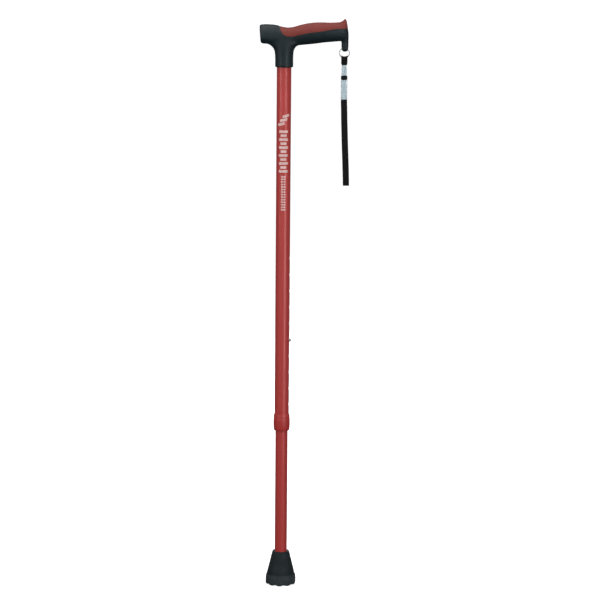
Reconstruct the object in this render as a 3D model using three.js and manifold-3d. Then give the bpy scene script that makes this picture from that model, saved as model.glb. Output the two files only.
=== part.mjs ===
// Height-adjustable walking cane: a two-tube shaft with a push-button height lock, an offset grip
// with a soft insert, a flared rubber foot and a wrist strap on a split ring.
// Millimetres, +Z up. The origin is the centre of the foot's sole, on the shaft's axis.
// +X points along the grip to its front end, and +Y points to the cane's back.

import * as THREE from 'three';
import { mergeVertices } from 'three/addons/utils/BufferGeometryUtils.js';
import { ParametricGeometry } from 'three/addons/geometries/ParametricGeometry.js';
import Module from 'manifold-3d';

const wasm = await Module();
wasm.setup();

// ---- driving dimensions ----

const GAP = 0.3; // between pieces that touch
const SLIDE_GAP = 0.325; // between the two tubes

// shaft
const UPPER_R = 11.1; // 7/8 in tube
const UPPER_WALL = 1.25;
const LOWER_R = 9.525; // 3/4 in tube
const LOWER_WALL = 1.2;
const UPPER_BOTTOM = 253;
const UPPER_TOP = 850;
const LOWER_BOTTOM = 9;
const LOWER_TOP = 425;
const TUBE_SIDES = 40;

// height lock
const HOLE_PITCH = 25.4;
const HOLE_R = 3.3;
const HOLES_BELOW = 4; // spare holes under the one in use
const HOLES_ABOVE = 5;
const BUTTON_Z = 387.5;
const BUTTON_R = 2.9;
const BUTTON_PROUD = 2.7; // past the upper tube
const BUTTON_FLANGE_R = 3.9;
const BUTTON_SEAT = 6.2; // how far from the axis the button's flange starts
const BUTTON_FLANGE_T = 0.7;
const BUTTON_DOME = 2;
const CLIP_WIDTH = 6;
const CLIP_T = 0.6;
const CLIP_BEND_R = 2;
const CLIP_BEND_X = -0.6;
const CLIP_DROP = 43; // from the button down to the middle of the clip's bend
const CLIP_ABOVE = 9; // how far the leg with the button goes on above it
const CLIP_WALL_GAP = 1.2; // between the other leg and the far wall

// locking collar
const COLLAR_BOTTOM = 245.2;
const COLLAR_TOP = 270.9;
const COLLAR_R = 12.7;
const COLLAR_END_R = 11.9;
const COLLAR_LIP = 2.6; // thickness of the lip at its lower end
const SLIT_WIDTH = 1.4; // in the compression ring

// foot
const FOOT_R = 23.7;
const FOOT_TOP = 52.3;
const FOOT_TOP_R = 12.9;
const FOOT_FLOOR = 6.6; // thickness of the rubber under the bore
const SKIRT_R = 21.9; // the cone's radius where it meets the foot's rim
const RIM_TOP = 15.8;
const TREADS = 10;
const TREAD_R = 2.6;
const TREAD_INNER = 9; // the tread grooves start here, around a plain centre pad
const TREAD_TURN = -5; // degrees by which the first groove is turned from +X
const WASHER_BORE_R = 2.5;

// grip
const HEEL_X = -38;
const FRONT_X = 97.3;
const NECK_BOTTOM = 807;
const NECK_TOP = 857; // inside the bar
const NECK_R = 13.9;
const NECK_ROUND = 1.6; // at its mouth
const SOCKET_TOP = UPPER_TOP + GAP;
const INSERT_T = 3.2; // thickness of the soft insert over the grip's core
const HORN_BACK = 84; // in front of this, the insert's raised stop has no core
const PRONG_BACK = 86.6;
const PRONG_BOTTOM = 831;
const PRONG_TOP = 858; // inside the bar
const PRONG_ROUND = 4.6; // at its tip
const PRONG_HALF_Y = 5;

// wrist strap
const STRAP_X = 91.3;
const RING_Z = 829.2;
const RING_R = 7.6; // to the middle of the wire
const WIRE_R = 0.8;
const RING_LAYER = 0.85; // each of the two turns lies this far from the ring's middle plane
const RING_PIVOT_Z = RING_Z + RING_R - 1.3; // axis of the hole in the prong
const RING_HOLE_R = 2.6;
const RING_TURN = 640; // degrees of wire
const WEB_WIDTH = 9.6;
const WEB_T = 1.2;
const LOOP_BOTTOM = 811.1;
const LOOP_T = 0.9;
const LOOP_JOIN = 3.6; // the loop's two legs part this far above its bottom
const LOOP_FOOT = 1.15; // half the thickness of both legs together
const CRIMP_BOTTOM = 795;
const CRIMP_PIVOT_Z = 808.8; // the crimp's round shoulder is centred here
const CRIMP_R = 2;
const CRIMP_WIDTH = 8;
const KEEPER_BOTTOM = 788.8;
const KEEPER_SIZE = [10, 5.2];
const SLEEVE_BOTTOM = 758.9;
const SLEEVE_SIZE = [9.8, 4.8];
const BAND_CORNER = 1.2; // on the keeper and the sleeve
const CORE_WIDTH = 6.4;
const CORE_T = 1.8;
const CORE_CORNER = 0.4;

// ---- solids ----

// A closed mesh as a manifold solid. Triangles that a pole has flattened are dropped.
function solid(geometry) {
  const bare = geometry.clone();
  bare.deleteAttribute('normal');
  bare.deleteAttribute('uv');
  const merged = mergeVertices(bare, 1e-3);
  const index = merged.index.array;
  const kept = [];
  for (let i = 0; i < index.length; i += 3) {
    const [a, b, c] = [index[i], index[i + 1], index[i + 2]];
    if (a !== b && b !== c && c !== a) kept.push(a, b, c);
  }
  const mesh = new wasm.Mesh({
    numProp: 3,
    vertProperties: new Float32Array(merged.attributes.position.array),
    triVerts: new Uint32Array(kept),
  });
  return new wasm.Manifold(mesh);
}

function geometryOf(manifold) {
  const mesh = manifold.getMesh();
  const geometry = new THREE.BufferGeometry();
  geometry.setAttribute('position', new THREE.BufferAttribute(mesh.vertProperties, 3));
  geometry.setIndex(new THREE.BufferAttribute(mesh.triVerts, 1));
  geometry.computeVertexNormals();
  return geometry;
}

// A round solid about the Z axis from a closed outline of [radius, z] corners.
function turned(outline, sides = TUBE_SIDES) {
  const points = [...outline, outline[0]].map(([r, z]) => new THREE.Vector2(r, z));
  return new THREE.LatheGeometry(points, sides).rotateX(Math.PI / 2);
}

function tube(outer, inner, bottom, top) {
  return turned([[inner, bottom], [outer, bottom], [outer, top], [inner, top]]);
}

function rod(radius, from, to, sides = 24) {
  const length = from.distanceTo(to);
  const geometry = new THREE.CylinderGeometry(radius, radius, length, sides);
  const turn = new THREE.Quaternion().setFromUnitVectors(
    new THREE.Vector3(0, 1, 0),
    to.clone().sub(from).normalize(),
  );
  const middle = from.clone().add(to).multiplyScalar(0.5);
  return geometry.applyQuaternion(turn).translate(middle.x, middle.y, middle.z);
}

// A flat outline in the XZ plane, given as a shape in (x, z), spread along Y.
function slabAlongY(shape, width, options = {}) {
  const geometry = new THREE.ExtrudeGeometry(shape, { depth: width, bevelEnabled: false, ...options });
  return geometry.rotateX(Math.PI / 2).translate(0, width / 2, 0);
}

// A flat outline in the YZ plane, given as a shape in (y, z), spread along X about x.
function slabAlongX(shape, width, x, steps = 1) {
  const geometry = new THREE.ExtrudeGeometry(shape, {
    depth: width,
    bevelEnabled: false,
    curveSegments: 6,
    steps,
  });
  const toX = new THREE.Matrix4().set(0, 0, 1, x - width / 2, 1, 0, 0, 0, 0, 1, 0, 0, 0, 0, 0, 1);
  return geometry.applyMatrix4(toX);
}

// An upright bar with rounded edges, in line with the strap.
function roundedBar(width, thick, bottom, top, corner) {
  const shape = roundedRectangle(width, thick, corner);
  const geometry = new THREE.ExtrudeGeometry(shape, {
    depth: top - bottom,
    bevelEnabled: false,
    curveSegments: 4,
  });
  return geometry.translate(STRAP_X, 0, bottom);
}

function roundedRectangle(width, thick, corner) {
  const [w, t] = [width / 2, thick / 2];
  const shape = new THREE.Shape();
  shape.moveTo(-w + corner, -t);
  shape.lineTo(w - corner, -t);
  shape.absarc(w - corner, -t + corner, corner, -Math.PI / 2, 0);
  shape.lineTo(w, t - corner);
  shape.absarc(w - corner, t - corner, corner, 0, Math.PI / 2);
  shape.lineTo(-w + corner, t);
  shape.absarc(-w + corner, t - corner, corner, Math.PI / 2, Math.PI);
  shape.lineTo(-w, -t + corner);
  shape.absarc(-w + corner, -t + corner, corner, Math.PI, Math.PI * 1.5);
  return shape;
}

// A smooth function through [x, value] pairs.
function curveThrough(pairs) {
  const at = Float32Array.from(pairs, ([x]) => x);
  const values = Float32Array.from(pairs, ([, value]) => value);
  const curve = new THREE.CubicInterpolant(at, values, 1, new Float32Array(1));
  return (x) => curve.evaluate(x)[0];
}

// The angle at a share of the way round, the same at the end as at the start.
function around(share) {
  return (share % 1) * 2 * Math.PI;
}

// ---- the grip ----

const barTop = curveThrough([
  [-38, 870.9], [-31, 871.9], [-21, 871.8], [-12, 870.9], [-4, 868.6], [5, 867.2], [13, 868],
  [24, 871.2], [36, 873.8], [48, 875.1], [60, 875.3], [70, 875], [79, 875.5], [84.5, 876],
  [88.4, 878], [91, 880.3], [92.8, 880.7], [94.4, 877.5], [96, 869], [97.3, 859],
]);
const barBottom = curveThrough([
  [-38, 843], [-31, 842.2], [-24, 842.1], [-12, 841.4], [0, 840.6], [12, 840.2], [24, 840.4],
  [36, 841.7], [48, 843], [60, 844.7], [72, 845.8], [84, 846.9], [97.3, 847.6],
]);
const barHalfWidth = curveThrough([
  [-38, 12.6], [-26, 13.4], [-10, 13.6], [6, 12.8], [20, 13.4], [40, 14.8], [58, 15], [74, 13.8],
  [86, 12.4], [92, 11], [97.3, 7],
]);
const FULLNESS = 0.82; // of the section's lower half; below 1 it is fuller than an ellipse
const CROWN_FULLNESS = [1.22, 0.95]; // of its upper half, at the heel and further forward
const BELLY = [0.36, 0.52]; // how high up the bar is widest, at the heel and at the front
const UNDERCUT = 0.16; // how much the sides draw in towards the underside
const HEEL_ROUND = 2.6;
const HEEL_SLANT = 0.08;
const HEEL_SHARE = 0.16; // the share of the stations that round the heel

const { smoothstep, clamp, lerp } = THREE.MathUtils;

function superellipse(angle, fullness) {
  const [c, s] = [Math.cos(angle), Math.sin(angle)];
  return [Math.sign(c) * Math.abs(c) ** fullness, Math.sign(s) * Math.abs(s) ** fullness];
}

// The stations along the bar: its heel's rounded end first, then even steps to its front end.
function barStation(v, inset) {
  const start = HEEL_X + inset;
  const end = inset > 0 ? HORN_BACK - inset : FRONT_X;
  if (v >= HEEL_SHARE) {
    const t = (v - HEEL_SHARE) / (1 - HEEL_SHARE);
    return { x: start + HEEL_ROUND + (end - start - HEEL_ROUND) * t ** 0.92, pull: 0 };
  }
  const turn = (v / HEEL_SHARE) * (Math.PI / 2);
  return {
    x: start + HEEL_ROUND * (1 - Math.cos(turn)),
    pull: HEEL_ROUND * (1 - Math.sin(turn)),
  };
}

// A point of the bar's section at x, inset by a number of millimetres and scaled by size.
function barSection(angle, x, inset, size) {
  const [top, bottom] = [barTop(x) - inset, barBottom(x) + inset];
  const middle = lerp(bottom, top, lerp(...BELLY, smoothstep(x, -14, 26)));
  const crown = lerp(...CROWN_FULLNESS, smoothstep(x, -20, 6));
  const [c, s] = superellipse(angle, angle > Math.PI ? FULLNESS : crown);
  const tuck = inset > 0 ? 1 : 1 - UNDERCUT * Math.max(0, -s) ** 1.5;
  return {
    y: size * c * tuck * (barHalfWidth(x) - inset),
    z: middle + size * s * (s > 0 ? top - middle : middle - bottom),
  };
}

// The bar as one skin, inset all round by a number of millimetres.
function gripBar(inset) {
  const along = 30;
  return new ParametricGeometry((u, v, target) => {
    const row = Math.round(v * along);
    const capped = row === 0 || row === along;
    const { x, pull } = barStation(clamp((row - 1) / (along - 2), 0, 1), inset);
    const { y, z } = barSection(around(u), x, inset + pull, capped ? 0 : 1);
    const lean = HEEL_SLANT * clamp((-14 - x) / 24, 0, 1);
    target.set(x + lean * (barTop(x) - z), y, z);
  }, 24, along);
}

const neckBack = curveThrough([
  [807, -13.7], [818, -13.7], [824, -13.9], [829, -14.4], [833, -15.4], [836.5, -17.4],
  [839.5, -20.4], [842.4, -25.4], [846, -28.5], [857, -29],
]);
const neckFront = curveThrough([
  [807, 13.9], [824, 13.9], [829, 14.2], [833, 15], [836, 16.4], [838.6, 18.7], [840.6, 22],
  [842.4, 26.4], [846, 28], [857, 28],
]);

// The neck under the bar: round at its mouth, and flaring fore and aft into the bar's underside.
function neck() {
  const up = 18;
  return new ParametricGeometry((u, v, target) => {
    const row = Math.round(v * up);
    const t = clamp((row - 1) / (up - 2), 0, 1);
    const z = lerp(NECK_BOTTOM, NECK_TOP, t);
    const edge = Math.max(0, NECK_ROUND - (z - NECK_BOTTOM));
    const pull = NECK_ROUND - Math.sqrt(NECK_ROUND ** 2 - edge ** 2);
    const size = row === 0 || row === up ? 0 : 1;
    const [back, front] = [neckBack(z), neckFront(z)];
    const angle = around(u);
    const x = (front + back) / 2 + size * Math.cos(angle) * ((front - back) / 2 - pull);
    const narrow = smoothstep(z, 838, NECK_TOP) * 1.2;
    target.set(x, size * Math.sin(angle) * (NECK_R - pull - narrow), z);
  }, 28, up);
}

// The prong that hangs from the bar's front end and carries the ring.
function prong() {
  const halfX = (FRONT_X - PRONG_BACK) / 2;
  const middle = (FRONT_X + PRONG_BACK) / 2;
  return new ParametricGeometry((u, v, target) => {
    const z = lerp(PRONG_BOTTOM, PRONG_TOP, v ** 1.6);
    const edge = Math.max(0, 1 - (z - PRONG_BOTTOM) / PRONG_ROUND);
    const size = v === 1 ? 0 : Math.sqrt(Math.max(0, 1 - edge ** 2));
    const widen = Math.max(0, z - 845) * 0.3;
    const [c, s] = superellipse(around(u), FULLNESS);
    target.set(
      middle - widen / 4 + size * c * (halfX + widen / 4),
      size * s * (PRONG_HALF_Y + widen),
      z,
    );
  }, 18, 10);
}

// The zone that the soft insert covers: everything above a line that starts at a point behind the
// saddle, drops steeply, then climbs slowly to the front end.
function insertZone(grow) {
  const line = new THREE.SplineCurve([
    [-7.2, 869], [-5.8, 863.5], [-2.6, 858.2], [2.4, 854.7], [9, 853.6], [20, 855.4],
    [38, 859.4], [58, 861.9], [77, 865.4], [90, 866.1], [106, 866.3],
  ].map(([x, z]) => new THREE.Vector2(x - grow, z - grow)));
  const shape = new THREE.Shape();
  shape.moveTo(-8 - grow, 890);
  shape.lineTo(-8 - grow, 872);
  line.getPoints(20).forEach((point) => shape.lineTo(point.x, point.y));
  shape.lineTo(106, 890);
  return solid(slabAlongY(shape, 60));
}

const wholeGrip = solid(gripBar(0)).add(solid(neck())).add(solid(prong()));

function handleBody() {
  const socket = solid(turned([[0, 790], [UPPER_R + GAP, 790], [UPPER_R + GAP, SOCKET_TOP],
    [0, SOCKET_TOP]]));
  const eye = solid(rod(RING_HOLE_R, new THREE.Vector3(PRONG_BACK - 4, 0, RING_PIVOT_Z),
    new THREE.Vector3(FRONT_X + 4, 0, RING_PIVOT_Z)));
  const body = wholeGrip
    .subtract(insertZone(GAP))
    .add(solid(gripBar(INSERT_T + GAP)))
    .subtract(socket)
    .subtract(eye);
  return geometryOf(body);
}

function gripInsert() {
  return geometryOf(wholeGrip.intersect(insertZone(0)).subtract(solid(gripBar(INSERT_T))));
}

// ---- the shaft ----

function sideHole(z, from) {
  const side = rod(HOLE_R, new THREE.Vector3(from, 0, z), new THREE.Vector3(20, 0, z), 16);
  return solid(side);
}

function upperTube() {
  let body = solid(tube(UPPER_R, UPPER_R - UPPER_WALL, UPPER_BOTTOM, UPPER_TOP));
  for (let n = -HOLES_BELOW; n <= HOLES_ABOVE; n += 1) {
    body = body.subtract(sideHole(BUTTON_Z + n * HOLE_PITCH, 4));
  }
  return geometryOf(body);
}

function lowerTube() {
  const body = solid(tube(LOWER_R, LOWER_R - LOWER_WALL, LOWER_BOTTOM, LOWER_TOP));
  return geometryOf(body.subtract(sideHole(BUTTON_Z, 4)));
}

// The nylon cap on the lower tube's top end keeps it central in the upper tube.
function lowerTubeCap() {
  const stem = LOWER_R - LOWER_WALL - GAP;
  const flange = LOWER_R + SLIDE_GAP - GAP;
  const hollow = stem - 1.8;
  const foot = LOWER_TOP - 12;
  const crown = LOWER_TOP + 3.2;
  return turned([
    [0, crown - 1.6], [hollow, crown - 1.6], [hollow, foot], [stem, foot],
    [stem, LOWER_TOP + GAP], [flange, LOWER_TOP + GAP], [flange, crown - 0.8],
    [flange - 0.8, crown], [0, crown],
  ]);
}

function snapButton() {
  const tip = UPPER_R + BUTTON_PROUD;
  const shoulder = BUTTON_SEAT + BUTTON_FLANGE_T;
  const points = [[0, BUTTON_SEAT], [BUTTON_FLANGE_R, BUTTON_SEAT], [BUTTON_FLANGE_R, shoulder],
    [BUTTON_R, shoulder]];
  for (let i = 0; i < 6; i += 1) {
    const angle = (i / 6) * (Math.PI / 2);
    points.push([BUTTON_R * Math.cos(angle), tip - BUTTON_DOME + BUTTON_DOME * Math.sin(angle)]);
  }
  points.push([0, tip]);
  const profile = points.map(([r, x]) => new THREE.Vector2(r, x));
  return new THREE.LatheGeometry(profile, 24).rotateZ(-Math.PI / 2).translate(0, 0, BUTTON_Z);
}

// The V spring inside the lower tube: one leg carries the button, the other lies on the far wall.
function snapClip() {
  const far = -(LOWER_R - LOWER_WALL) + CLIP_WALL_GAP;
  const near = BUTTON_SEAT - GAP;
  const bendZ = BUTTON_Z - CLIP_DROP;
  const knee = BUTTON_Z - 10;
  const top = BUTTON_Z + CLIP_ABOVE;
  const farTop = top - 3;
  const outerR = CLIP_BEND_R + CLIP_T;
  const shape = new THREE.Shape();
  shape.moveTo(near, top);
  shape.lineTo(near - CLIP_T, top);
  shape.lineTo(near - CLIP_T, knee);
  shape.lineTo(CLIP_BEND_X + CLIP_BEND_R, bendZ);
  shape.absarc(CLIP_BEND_X, bendZ, CLIP_BEND_R, 0, -Math.PI, true);
  shape.lineTo(far + CLIP_T, farTop);
  shape.lineTo(far, farTop);
  shape.lineTo(CLIP_BEND_X - outerR, bendZ);
  shape.absarc(CLIP_BEND_X, bendZ, outerR, -Math.PI, 0, false);
  shape.lineTo(near, knee);
  return slabAlongY(shape, CLIP_WIDTH, { curveSegments: 6 });
}

// ---- the collar at the upper tube's mouth ----

function lockingCollar() {
  const lip = COLLAR_BOTTOM + COLLAR_LIP;
  const points = [
    [LOWER_R + SLIDE_GAP, COLLAR_BOTTOM], [COLLAR_END_R - 1.2, COLLAR_BOTTOM],
    [COLLAR_END_R - 0.5, COLLAR_BOTTOM + 0.7],
  ];
  const rings = 6;
  for (let i = 0; i <= rings; i += 1) {
    const t = i / rings;
    const swell = Math.min(1, 4.2 * t * (1 - t) + 0.3);
    points.push([lerp(COLLAR_END_R, COLLAR_R, swell), lerp(COLLAR_BOTTOM + 3, COLLAR_TOP - 3, t)]);
  }
  points.push([COLLAR_END_R - 0.1, COLLAR_TOP - 0.7], [COLLAR_END_R - 0.4, COLLAR_TOP]);
  points.push([UPPER_R + GAP, COLLAR_TOP], [UPPER_R + GAP, lip], [LOWER_R + SLIDE_GAP, lip]);
  return turned(points, 32);
}

// The nylon ring that the collar squeezes round the lower tube: a ring with one slit.
function compressionRing() {
  const [inner, outer] = [LOWER_R + SLIDE_GAP, UPPER_R];
  const [bottom, top] = [COLLAR_BOTTOM + COLLAR_LIP + GAP, UPPER_BOTTOM - GAP];
  const slit = new THREE.BoxGeometry(6, SLIT_WIDTH, 12).translate(-inner - 1, 0, (bottom + top) / 2);
  const ring = turned([[inner, bottom], [outer, bottom], [outer, top - 1], [outer - 0.8, top],
    [inner, top]]);
  return geometryOf(solid(ring).subtract(solid(slit)));
}

// ---- the foot ----

function footProfile() {
  const bore = LOWER_R + GAP;
  return [
    [0, 0], [FOOT_R - 2.4, 0], [FOOT_R - 0.7, 0.7], [FOOT_R, 2.4], [FOOT_R, 7],
    [FOOT_R - 0.5, 12.4], [FOOT_R - 1.3, RIM_TOP], [SKIRT_R - 0.2, RIM_TOP + 1.6],
    [20.6, 21.6], [17.7, 33.6], [14.6, 46.4], [FOOT_TOP_R, FOOT_TOP - 0.9],
    [FOOT_TOP_R - 0.7, FOOT_TOP], [bore + 0.4, FOOT_TOP], [bore, FOOT_TOP - 0.6],
    [bore, FOOT_FLOOR], [0, FOOT_FLOOR],
  ];
}

function ferrule() {
  const profile = footProfile().map(([r, z]) => new THREE.Vector2(r, z));
  let body = solid(new THREE.LatheGeometry(profile, 40).rotateX(Math.PI / 2));
  for (let n = 0; n < TREADS; n += 1) {
    const angle = THREE.MathUtils.degToRad(TREAD_TURN + (n * 360) / TREADS);
    const out = new THREE.Vector3(Math.cos(angle), Math.sin(angle), 0);
    const from = out.clone().multiplyScalar(TREAD_INNER).setZ(-0.9);
    const to = out.clone().multiplyScalar(FOOT_R + 3).setZ(-0.5);
    body = body.subtract(solid(rod(TREAD_R, from, to, 12)));
  }
  return geometryOf(body);
}

// The steel washer at the bottom of the foot's bore keeps the tube from cutting through the rubber.
function ferruleWasher() {
  const [bottom, top] = [FOOT_FLOOR + GAP, LOWER_BOTTOM - GAP];
  return tube(LOWER_R - 0.4, WASHER_BORE_R, bottom, top);
}

// ---- the wrist strap ----

// A split ring in the XZ plane: two turns of wire side by side, with one crossing between them.
class SplitRingCurve extends THREE.Curve {
  getPoint(t, target = new THREE.Vector3()) {
    const degrees = RING_TURN * t;
    const cross = smoothstep(degrees, 296, 344);
    const angle = THREE.MathUtils.degToRad(degrees - 40);
    return target.set(
      RING_R * Math.cos(angle),
      RING_LAYER * (2 * cross - 1),
      RING_R * Math.sin(angle),
    );
  }
}

function splitRing() {
  const section = new THREE.Shape().absarc(0, 0, WIRE_R, 0, 2 * Math.PI);
  const geometry = new THREE.ExtrudeGeometry(section, {
    steps: 52,
    curveSegments: 4,
    bevelEnabled: false,
    extrudePath: new SplitRingCurve(),
  });
  return geometry.translate(STRAP_X, 0, RING_Z);
}

// The short webbing loop over the bottom of the ring. Its top follows the ring's curve.
function ringLoop() {
  const wireZ = RING_Z - RING_R;
  const inner = RING_LAYER + WIRE_R + 0.35;
  const outer = inner + LOOP_T;
  const archZ = wireZ - 0.3;
  const joinZ = LOOP_BOTTOM + LOOP_JOIN;
  const shape = new THREE.Shape();
  shape.moveTo(-LOOP_FOOT, LOOP_BOTTOM);
  shape.lineTo(LOOP_FOOT, LOOP_BOTTOM);
  shape.quadraticCurveTo(LOOP_FOOT + 0.2, LOOP_BOTTOM + 4, outer, archZ);
  shape.absarc(0, archZ, outer, 0, Math.PI);
  shape.quadraticCurveTo(-LOOP_FOOT - 0.2, LOOP_BOTTOM + 4, -LOOP_FOOT, LOOP_BOTTOM);
  const eye = new THREE.Path();
  eye.moveTo(0, joinZ);
  eye.quadraticCurveTo(-0.6, joinZ + 2.9, -inner, archZ);
  eye.absarc(0, archZ, inner, Math.PI, 0, true);
  eye.quadraticCurveTo(0.6, joinZ + 2.9, 0, joinZ);
  shape.holes.push(eye);
  const geometry = slabAlongX(shape, WEB_WIDTH, STRAP_X, 6);
  const points = geometry.attributes.position;
  for (let i = 0; i < points.count; i += 1) {
    const across = points.getX(i) - STRAP_X;
    const share = smoothstep(points.getZ(i), LOOP_BOTTOM + 1, wireZ - 2);
    const rise = RING_R - Math.sqrt(RING_R ** 2 - across ** 2);
    points.setZ(i, points.getZ(i) + rise * share);
  }
  return geometry;
}

// The room round the strap's core inside the pieces that it runs through.
function coreSpace(bottom, top) {
  return solid(roundedBar(CORE_WIDTH + 2 * GAP, CORE_T + 2 * GAP, bottom, top, CORE_CORNER));
}

// The metal crimp under the ring loop, with a round shoulder about which the webbing bends.
function strapCrimp() {
  const shape = new THREE.Shape();
  shape.moveTo(-CRIMP_R, CRIMP_BOTTOM);
  shape.lineTo(CRIMP_R, CRIMP_BOTTOM);
  shape.lineTo(CRIMP_R, CRIMP_PIVOT_Z);
  shape.absarc(0, CRIMP_PIVOT_Z, CRIMP_R, 0, Math.PI);
  shape.lineTo(-CRIMP_R, CRIMP_BOTTOM);
  const outside = slabAlongX(shape, CRIMP_WIDTH, STRAP_X);
  return geometryOf(solid(outside).subtract(coreSpace(CRIMP_BOTTOM - 1, CRIMP_PIVOT_Z - 1)));
}

// A flat tube round the strap's core.
function strapBand([width, thick], bottom, top) {
  const outside = solid(roundedBar(width, thick, bottom, top, BAND_CORNER));
  return geometryOf(outside.subtract(coreSpace(bottom - 1, top + 1)));
}

// The wrist loop's route, from the front of the sleeve down, round its lowest fold and back up.
const FRONT_LEG = [
  [91.35, -1, 758.6], [91.5, -1.5, 752], [91.85, -2.7, 742], [92.15, -4.3, 728],
  [92.8, -5.7, 710], [93.4, -6.5, 692], [94.2, -6.8, 674], [94.85, -6.7, 658],
  [95.3, -6.2, 645], [95.6, -5, 635.6], [95.75, -2.9, 629.6],
];
const LOWEST = [95.8, 0, 627.6];
const BACK_LEG = FRONT_LEG.map(([x, y, z]) => [x, -y, z]).reverse();
const WRIST_ROUTE = [...FRONT_LEG, LOWEST, ...BACK_LEG];

function wristLoop() {
  const route = new THREE.CatmullRomCurve3(WRIST_ROUTE.map((p) => new THREE.Vector3(...p)));
  const [w, t] = [WEB_WIDTH / 2, WEB_T / 2];
  const section = new THREE.Shape([
    [-w, -t * 0.5], [-w + 0.5, -t], [w - 0.5, -t], [w, -t * 0.5],
    [w, t * 0.5], [w - 0.5, t], [-w + 0.5, t], [-w, t * 0.5],
  ].map((p) => new THREE.Vector2(...p)));
  return new THREE.ExtrudeGeometry(section, {
    steps: 44,
    bevelEnabled: false,
    extrudePath: route,
  });
}

// ---- materials and assembly ----

const paint = (color, roughness, metalness) => new THREE.MeshStandardMaterial({
  color, roughness, metalness,
});
const redPaint = paint(0xa53734, 0.35, 0.5);
const softRed = paint(0x964440, 0.7, 0);
const blackPlastic = paint(0x1e262a, 0.5, 0);
const blackRubber = paint(0x22272a, 0.75, 0);
const whiteNylon = paint(0xd8d6cf, 0.6, 0);
const steel = paint(0xafbec6, 0.3, 0.9);
const blackWebbing = paint(0x16171b, 0.9, 0);

const cane = new THREE.Group();

function place(name, geometry, material) {
  const mesh = new THREE.Mesh(geometry, material);
  mesh.name = name;
  cane.add(mesh);
}

place('handle_body', handleBody(), blackPlastic);
place('grip_insert', gripInsert(), softRed);
place('upper_tube', upperTube(), redPaint);
place('locking_collar', lockingCollar(), redPaint);
place('compression_ring', compressionRing(), whiteNylon);
place('lower_tube', lowerTube(), redPaint);
place('lower_tube_cap', lowerTubeCap(), whiteNylon);
place('snap_clip', snapClip(), steel);
place('snap_button', snapButton(), steel);
place('ferrule', ferrule(), blackRubber);
place('ferrule_washer', ferruleWasher(), steel);
place('split_ring', splitRing(), steel);
place('ring_loop', ringLoop(), blackWebbing);
place('strap_crimp', strapCrimp(), steel);
place('strap_core', roundedBar(CORE_WIDTH, CORE_T, SLEEVE_BOTTOM + 1, CRIMP_PIVOT_Z - 1 - GAP,
  CORE_CORNER), blackWebbing);
place('strap_keeper', strapBand(KEEPER_SIZE, KEEPER_BOTTOM, CRIMP_BOTTOM - GAP), blackPlastic);
place('strap_sleeve', strapBand(SLEEVE_SIZE, SLEEVE_BOTTOM, KEEPER_BOTTOM - GAP), steel);
place('wrist_loop', wristLoop(), blackWebbing);

export default cane;
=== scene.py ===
import math

import bmesh
import bpy
import numpy as np
from mathutils import Matrix, Vector


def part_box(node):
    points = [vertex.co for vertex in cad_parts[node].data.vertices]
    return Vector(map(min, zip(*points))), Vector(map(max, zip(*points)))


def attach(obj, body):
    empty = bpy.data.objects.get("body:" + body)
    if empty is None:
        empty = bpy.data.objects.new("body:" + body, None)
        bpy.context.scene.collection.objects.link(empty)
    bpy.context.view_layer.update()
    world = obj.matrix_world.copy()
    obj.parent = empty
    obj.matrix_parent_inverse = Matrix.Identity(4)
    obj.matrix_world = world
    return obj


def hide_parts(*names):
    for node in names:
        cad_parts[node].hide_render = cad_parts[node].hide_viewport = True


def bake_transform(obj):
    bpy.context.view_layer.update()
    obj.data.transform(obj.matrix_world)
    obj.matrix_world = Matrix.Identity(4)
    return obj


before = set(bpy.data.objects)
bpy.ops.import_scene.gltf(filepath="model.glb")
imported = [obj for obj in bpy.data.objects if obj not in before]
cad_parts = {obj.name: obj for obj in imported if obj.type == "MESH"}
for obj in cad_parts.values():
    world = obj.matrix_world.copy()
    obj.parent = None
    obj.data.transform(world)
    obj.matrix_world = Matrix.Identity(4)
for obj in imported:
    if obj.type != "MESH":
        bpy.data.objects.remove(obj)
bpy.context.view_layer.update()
MM = 0.001


# ---- camera ----

CAMERA_BACK = 3.47
CAMERA_UP = 0.989
CAMERA_SIDE = 0.027
PITCH = math.radians(8.8)
ROLL = math.radians(0.469)
LENS_PER_WIDTH = 3.797  # focal length over the picture's width
SHIFT_Y = -0.0022


def placed(name, data):
    """A new object in the scene that shows some data."""
    obj = bpy.data.objects.new(name, data)
    bpy.context.scene.collection.objects.link(obj)
    return obj


def add_camera():
    """A long lens, far from the cane, that looks slightly down."""
    data = bpy.data.cameras.new("camera")
    data.sensor_width = 36
    data.lens = 36 * LENS_PER_WIDTH
    data.clip_end = 100
    data.shift_y = SHIFT_Y
    camera = placed("camera", data)
    place = Matrix.Translation((CAMERA_SIDE, -CAMERA_BACK, CAMERA_UP))
    turn = Matrix.Rotation(math.pi / 2 - PITCH, 4, "X")
    camera.matrix_world = place @ turn @ Matrix.Rotation(ROLL, 4, "Z")
    bpy.context.scene.camera = camera


add_camera()


# ---- mesh helpers ----


def angles(count):
    return [2 * math.pi * step / count for step in range(count)]


def new_object(name, verts, faces, smooth_below=35):
    """A mesh object in metres from points in millimetres."""
    mesh = bpy.data.meshes.new(name)
    mesh.from_pydata([Vector(v) * MM for v in verts], [], faces)
    mesh.validate()
    obj = placed(name, mesh)
    shade(obj, smooth_below)
    return obj


def shade(obj, smooth_below=35):
    """Merges doubled points, turns every face outwards and rounds the shading below an angle."""
    mesh = obj.data
    bm = bmesh.new()
    bm.from_mesh(mesh)
    bmesh.ops.remove_doubles(bm, verts=bm.verts, dist=1e-7)
    bmesh.ops.recalc_face_normals(bm, faces=bm.faces)
    bm.to_mesh(mesh)
    bm.free()
    mesh.shade_smooth()
    mesh.set_sharp_from_angle(angle=math.radians(smooth_below))


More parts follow.
